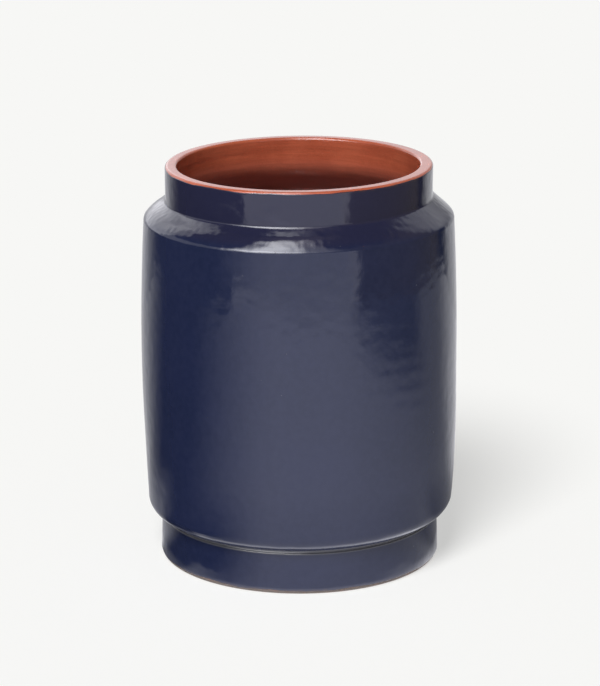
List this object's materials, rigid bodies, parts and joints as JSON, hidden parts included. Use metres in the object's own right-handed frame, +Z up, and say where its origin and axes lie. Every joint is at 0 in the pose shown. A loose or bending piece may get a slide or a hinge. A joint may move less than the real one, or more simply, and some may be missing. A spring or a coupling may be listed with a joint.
{
  "type": "plant pot",
  "caption": "Round glazed terracotta pot with a straight neck, sloping shoulder, stepped foot ring and a drain hole in its floor.",
  "frame": {"origin": "centre of the face of the foot ring that the pot stands on", "axes": "+Z up along the axis on which the pot was turned; X and Y lie in the resting plane, and the pot is the same all round them"},
  "size_m": [0.2206, 0.2206, 0.28],
  "materials": {
    "terracotta": "fired terracotta, bare and matt at the base and under the foot",
    "navy_glaze": "deep navy gloss glaze with a slight orange-peel surface",
    "clear_glaze": "thin clear satin glaze that shows the terracotta under it"
  },
  "bodies": {
    "root": {"clay_body": "terracotta", "outer_glaze": "navy_glaze", "inner_glaze": "clear_glaze"}
  },
  "joints": []
}
